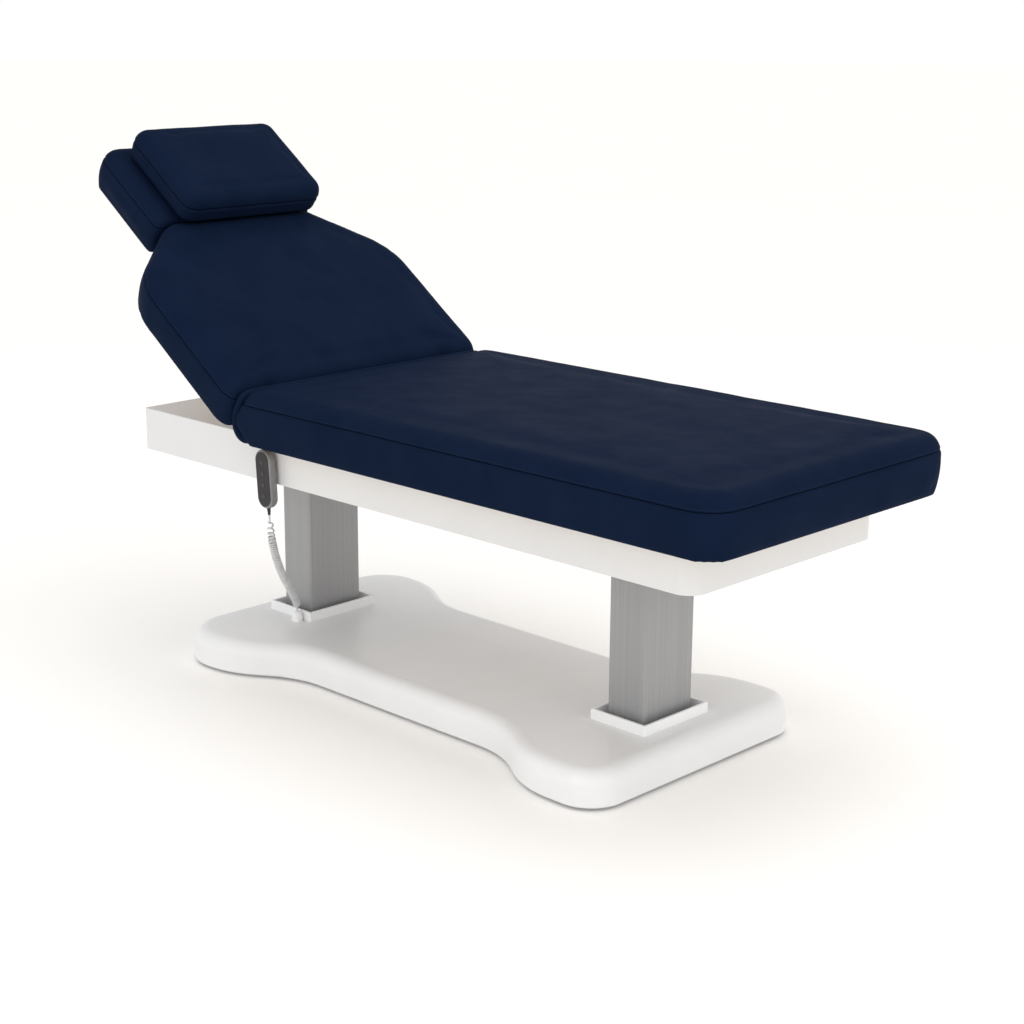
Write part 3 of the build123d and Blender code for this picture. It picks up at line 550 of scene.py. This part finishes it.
def makeCord(values):
    guide = splineThrough("cordGuide", values["route"], 40)
    line = lineOf(guide)
    bpy.data.objects.remove(guide)
    cord = splineThrough("curlyCord", curlAlong(line, values), 2)
    path = lineOf(cord)
    cord.data.bevel_depth = values["jacket"] / 2
    cord.data.bevel_resolution = 2
    cord.data.use_fill_caps = True
    pickOnly(cord)
    bpy.ops.object.convert(target="MESH")
    cord = bpy.context.active_object
    bpy.ops.object.shade_smooth()
    cord.data.materials.clear()
    cord.data.materials.append(finishes["cordJacket"])
    run = float(np.linalg.norm(np.diff(path, axis=0), axis=1).sum())
    print("cord runs", round(run, 3), "m in", len(path), "points")
    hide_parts("curly_cord")
    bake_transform(cord)
    return cord


makeCord(cordSetup)


# upholstery

pivot = Vector(next(j for j in frame["joints"] if j["name"] == "backrest_tilt")["pos_m"])
backLean = {"angle": 35.4, "pivotInset": 0.012, "pivotDepth": 0.028}


def backFrame(values):  # x up the backrest from its hinge end, z off its top surface
    lean = math.radians(values["angle"])
    along = Vector((-math.cos(lean), 0, math.sin(lean)))
    off = Vector((math.sin(lean), 0, math.cos(lean)))
    start = pivot - along * values["pivotInset"] + off * values["pivotDepth"]
    return Matrix.Translation(start) @ Matrix((along, off.cross(along), off)).transposed().to_4x4()


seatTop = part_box("seat_pad")[1].z
seatFrame = Matrix.Translation((0, 0, seatTop))
backTop = backFrame(backLean)


def cadCopy(name, node, world, grow=0.0):
    piece = bpy.data.objects.new(name, frame["nodes"][node].data.copy())
    bpy.context.scene.collection.objects.link(piece)
    piece.data.materials.clear()
    piece.data.transform(world.inverted())
    editAll(piece)
    bpy.ops.mesh.remove_doubles(threshold=1e-5)
    if grow:
        bpy.ops.transform.shrink_fatten(value=grow)
    leaveEdit()
    return piece


def solidBlank(name, node, board, world, voxel):  # the pad with its board's recess filled
    piece = cadCopy(name, node, world)
    if board:
        filler = cadCopy(name + "Filler", board, world, 0.0006)
        pickOnly(piece)
        filler.select_set(True)
        bpy.ops.object.join()
    applyModifier(piece, "REMESH", mode="VOXEL", voxel_size=voxel)
    applyModifier(piece, "SMOOTH", factor=0.5, iterations=3)
    return piece


stuffing = {"quality": 4, "mass": 0.3, "bending": 0.6, "shearShare": 0.5,
            "heldUpTo": 0.010, "freeFrom": 0.030, "quickShare": 0.6}


def inflate(piece, values):  # stapled round the foot of the pad, pressed out above it
    mesh = piece.data
    points = pointsOf(mesh)
    floorLevel = points[:, 2].min()
    held = 1 - eased(points[:, 2], floorLevel + stuffing["heldUpTo"],
                     floorLevel + stuffing["freeFrom"])
    points = points - normalsOf(mesh) * (values["shrink"] * (1 - held))[:, None]
    setPoints(mesh, points)
    group = piece.vertex_groups.new(name="stapled")
    for index, weight in enumerate(held):
        if weight > 0.01:
            group.add([index], float(weight), "REPLACE")
    cloth = piece.modifiers.new("stuffing", "CLOTH")
    settings = cloth.settings
    settings.quality = stuffing["quality"]
    settings.mass = stuffing["mass"]
    settings.tension_stiffness = settings.compression_stiffness = values["stiffness"]
    settings.shear_stiffness = values["stiffness"] * stuffing["shearShare"]
    settings.bending_stiffness = stuffing["bending"]
    settings.use_pressure = True
    settings.uniform_pressure_force = values["pressure"]
    settings.effector_weights.gravity = 0
    settings.vertex_group_mass = "stapled"
    cloth.collision_settings.use_collision = False
    cloth.point_cache.frame_start = 1
    cloth.point_cache.frame_end = values["frames"]
    for step in range(1, values["frames"] + 1):
        bpy.context.scene.frame_set(step)
    grown = piece.evaluated_get(bpy.context.evaluated_depsgraph_get())
    shape = pointsOf(grown.data).copy()
    piece.modifiers.remove(cloth)
    bpy.context.scene.frame_set(1)
    move = shape - points
    reach = np.linalg.norm(move, axis=1)
    eachCap = values["cap"] * (1 - held)
    share = np.where(reach > 1e-9, eachCap * np.tanh(reach / np.maximum(values["cap"], 1e-6))
                     / np.maximum(reach, 1e-9), 0)
    setPoints(mesh, points + move * share[:, None])
    piece.vertex_groups.clear()


def fillOut(piece, node, world, crown):  # no side falls short of the pad, and each one crowns
    shell = cadCopy(piece.name + "Shell", node, world)
    surface = BVHTree.FromPolygons([v.co for v in shell.data.vertices],
                                   [list(f.vertices) for f in shell.data.polygons])
    bpy.data.objects.remove(shell)
    mesh = piece.data
    points = pointsOf(mesh)
    for index, point in enumerate(points):
        place, normal, _, away = surface.find_nearest(Vector(point))
        if away > 0.0004 and (Vector(point) - place).dot(normal) < 0:
            points[index] = place
    setPoints(mesh, points)
    applyModifier(piece, "SMOOTH", factor=0.5, iterations=2)
    points, normals = pointsOf(mesh), normalsOf(mesh)
    low, high = points[:, 2].min(), points[:, 2].max()
    depth = np.clip((points[:, 2] - low) / (high - low), 0, 1)
    normals[:, 2] = 0
    setPoints(mesh, points + normals * (crown * np.sin(np.pi * depth))[:, None])


def softenTop(piece, values):  # slow unevenness that a stuffed cover shows
    mesh = piece.data
    points, normals = pointsOf(mesh), normalsOf(mesh)
    floorLevel = points[:, 2].min()
    seed = values["seed"]
    wave = np.array([noise.noise(Vector((p[0] * 7 + seed, p[1] * 7, p[2] * 7)))
                     + 0.4 * noise.noise(Vector((p[0] * 21, p[1] * 21 + seed, p[2] * 21)))
                     for p in points])
    raised = eased(points[:, 2], floorLevel + 0.01, floorLevel + 0.04)
    setPoints(mesh, points + normals * (wave * values["wave"] * raised)[:, None])


seamShape = {"cuts": (-0.006, -0.0026, 0.0, 0.0026, 0.006), "grooveWidth": 0.0021,
             "lipShare": 0.32, "lipPlace": 0.0075, "lipWidth": 0.0045, "pucker": 0.4}


def sewSeam(piece, level, depth):  # a groove with raised lips, and how far each point is from it
    for offset in seamShape["cuts"]:
        editAll(piece)
        bpy.ops.mesh.bisect(plane_co=(0, 0, level + offset), plane_no=(0, 0, 1))
        leaveEdit()
    mesh = piece.data
    points, normals = pointsOf(mesh), normalsOf(mesh)
    offset = points[:, 2] - level
    pucker = np.array([1 + seamShape["pucker"] * noise.noise(Vector((p[0] * 45, p[1] * 45, 3.0)))
                       for p in points])
    groove = -depth * np.exp(-(offset / seamShape["grooveWidth"]) ** 2) * pucker
    lipOffset = (np.abs(offset) - seamShape["lipPlace"]) / seamShape["lipWidth"]
    lip = seamShape["lipShare"] * depth * np.exp(-lipOffset ** 2)
    flatNormals = normals.copy()
    flatNormals[:, 2] = 0
    setPoints(mesh, points + flatNormals * (groove + lip)[:, None])
    ring = [i for i, p in enumerate(points) if abs(p[2] - level) < 2e-4]
    middle = points[ring].mean(axis=0)
    angles = np.arctan2(points[ring, 1] - middle[1], points[ring, 0] - middle[0])
    order = np.array(ring)[np.argsort(angles)]
    legs = np.linalg.norm(np.diff(points[order], axis=0), axis=1)
    run = np.concatenate([[0], np.cumsum(legs)])
    tree = KDTree(len(order))
    for i, index in enumerate(order):
        tree.insert(Vector((*points[index][:2], 0)), i)
    tree.balance()
    along = [run[tree.find(Vector((p[0], p[1], 0)))[1]] for p in points]
    keepAttribute(mesh, "seamOffset", offset)
    keepAttribute(mesh, "seamAlong", along)


pocket = {"underside": 0.009, "margin": 0.004, "depth": 0.0158, "below": 0.004, "look": 0.012}


def boardPocket(piece, board, world):  # flattens the underside and opens it round its board
    mesh = piece.data
    points, normals = pointsOf(mesh), normalsOf(mesh)
    floorLevel = points[:, 2].min()
    under = (points[:, 2] < floorLevel + pocket["underside"]) & (normals[:, 2] < -0.5)
    points[under, 2] = floorLevel
    wood = frame["nodes"][board].data
    panel = BVHTree.FromPolygons([v.co for v in wood.vertices],
                                 [list(f.vertices) for f in wood.polygons])
    up = world.to_3x3() @ Vector((0, 0, 1))
    margin = pocket["margin"]
    for index in np.nonzero(under)[0]:
        x, y, _ = points[index]
        corners = [world @ Vector((x + dx, y + dy, floorLevel - pocket["below"]))
                   for dx, dy in ((margin, margin), (-margin, margin), (margin, -margin),
                                  (-margin, -margin))]
        if all(panel.ray_cast(corner, up, pocket["look"])[0] is not None for corner in corners):
            points[index, 2] = floorLevel + pocket["depth"]
    setPoints(mesh, points)


def finishPad(piece, values, world, body, node):
    applyModifier(piece, "SUBSURF", levels=1, render_levels=1)
    sewSeam(piece, values["seam"], values["seamDepth"])
    pickOnly(piece)
    bpy.ops.object.shade_smooth()
    piece.data.transform(world)
    piece.data.materials.append(upholstery)
    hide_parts(node)
    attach(piece, body)
    print(piece.name, "has", len(piece.data.polygons), "faces")


seatSetup = {"voxel": 0.011, "shrink": 0.003, "cap": 0.009, "pressure": 4.0, "stiffness": 14,
             "frames": 18, "seed": 1.7, "wave": 0.0012, "seam": -0.034, "seamDepth": 0.0026,
             "fill": 0.9, "bulge": 0.035, "crown": 0.009, "footReach": 0.016}


def makeSeat(values):
    low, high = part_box("seat_pad")
    seat = solidBlank("seatCushion", "seat_pad", "seat_board", seatFrame, values["voxel"])
    inflate(seat, values)
    fillOut(seat, "seat_pad", seatFrame, values["crown"])
    softenTop(seat, values)
    points = pointsOf(seat.data)
    # the head end swells into the wedge behind the backrest and tucks in underneath
    ending = 1 - eased(points[:, 0], low.x, low.x + 0.06)
    thick = high.z - low.z
    depth = np.clip(-points[:, 2] / thick, 0, 1)
    points[:, 0] -= values["bulge"] * ending * np.sin(np.pi * eased(depth, 0.08, 1.12)) ** 1.2
    points[:, 0] += values["footReach"] * eased(points[:, 0], high.x - 0.2, high.x)
    points[:, 2] = np.maximum(points[:, 2], low.z - seatTop)
    setPoints(seat.data, points)
    boardPocket(seat, "seat_board", seatFrame)
    finishPad(seat, values, seatFrame, "table", "seat_pad")
    return seat


backSetup = {"voxel": 0.010, "shrink": 0.003, "cap": 0.009, "pressure": 4.0, "stiffness": 14,
             "frames": 18, "seed": 5.1, "wave": 0.0011, "seam": -0.034, "seamDepth": 0.0024,
             "fill": 0.85, "length": 0.570, "start": 0.0183, "reach": 0.013,
             "crown": 0.011}


def makeBackrest(values):
    low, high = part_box("backrest_pad")
    back = solidBlank("backrestCushion", "backrest_pad", "backrest_board", backTop,
                      values["voxel"])
    bottom = pointsOf(back.data)[:, 2].min()
    inflate(back, values)
    fillOut(back, "backrest_pad", backTop, values["crown"])
    softenTop(back, values)
    points = pointsOf(back.data)
    points[:, 0] = np.clip(points[:, 0], values["start"] - 0.002, values["length"] + 0.0025)
    points[:, 2] = np.maximum(points[:, 2], bottom)
    # the hinge end reaches down to meet the stuffed roll
    ending = 1 - eased(points[:, 0], values["start"], values["start"] + 0.05)
    points[:, 0] -= values["reach"] * ending * eased(-points[:, 2], 0.015, 0.085)
    setPoints(back.data, points)
    boardPocket(back, "backrest_board", backTop)
    finishPad(back, values, backTop, "backrest", "backrest_pad")
    return back


headSetup = {"voxel": 0.008, "shrink": 0.003, "cap": 0.009, "pressure": 4.0, "stiffness": 12,
             "frames": 18, "seed": 9.4, "wave": 0.0009, "seam": -0.034, "seamDepth": 0.0022,
             "fill": 0.85, "start": 0.578, "crown": 0.011}


def makeHeadrest(values):
    headrest = solidBlank("headrestCushion", "headrest_pad", "headrest_board", backTop,
                          values["voxel"])
    bottom = pointsOf(headrest.data)[:, 2].min()
    inflate(headrest, values)
    fillOut(headrest, "headrest_pad", backTop, values["crown"])
    softenTop(headrest, values)
    points = pointsOf(headrest.data)
    points[:, 0] = np.maximum(points[:, 0], values["start"] - 0.0015)
    points[:, 2] = np.clip(points[:, 2], bottom, 0.0)
    setPoints(headrest.data, points)
    boardPocket(headrest, "headrest_board", backTop)
    finishPad(headrest, values, backTop, "headrest", "headrest_pad")
    return headrest


pillowSetup = {"voxel": 0.007, "shrink": 0.005, "cap": 0.011, "pressure": 4.5, "stiffness": 8,
               "frames": 20, "seed": 3.3, "wave": 0.0012, "seam": 0.046, "seamDepth": 0.0026,
               "fill": 0.8, "crown": 0.003, "sideways": -0.011}


def makePillow(values):
    pillow = solidBlank("pillowCushion", "pillow", None, backTop, values["voxel"])
    bottom = pointsOf(pillow.data)[:, 2].min()
    inflate(pillow, values)
    fillOut(pillow, "pillow", backTop, values["crown"])
    softenTop(pillow, values)
    points = pointsOf(pillow.data)
    points[:, 1] += values["sideways"]
    points[:, 2] = np.maximum(points[:, 2], bottom)
    setPoints(pillow.data, points)
    finishPad(pillow, values, backTop, "pillow", "pillow")
    return pillow


makeSeat(seatSetup)
makeBackrest(backSetup)
makeHeadrest(headSetup)
makePillow(pillowSetup)


# stuffed roll that closes the gap between seat and backrest

rollSetup = {"radius": 0.0100, "halfWidth": 0.340, "side": 0.366,
             "top": (-0.2880, 0.6985),
             "ends": ((-0.2870, 0.6940), (-0.3010, 0.6740), (-0.3150, 0.6480), (-0.3150, 0.6190),
                      (-0.2990, 0.6000), (-0.2740, 0.5970), (-0.2480, 0.6080))}


def makeRoll(values):
    near = [(x, -values["side"], z) for x, z in reversed(values["ends"])]
    corner = [(values["top"][0], -values["halfWidth"], values["top"][1])]
    top = [(values["top"][0], y, values["top"][1]) for y in np.linspace(-0.30, 0.30, 7)]
    far = [(x, -y, z) for x, y, z in reversed(near)]
    points = [*near, *corner, *top, (corner[0][0], values["halfWidth"], corner[0][2]), *far]
    roll = splineThrough("hingeRoll", points, 10)
    roll.data.bevel_depth = values["radius"]
    roll.data.bevel_resolution = 6
    roll.data.use_fill_caps = True
    pickOnly(roll)
    bpy.ops.object.convert(target="MESH")
    roll = bpy.context.active_object
    bpy.ops.object.shade_smooth()
    keepAttribute(roll.data, "seamOffset", np.ones(len(roll.data.vertices)))
    roll.data.materials.clear()
    roll.data.materials.append(upholstery)
    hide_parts("backrest_piping")
    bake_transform(roll)
    return roll


makeRoll(rollSetup)
print("upholstery made")
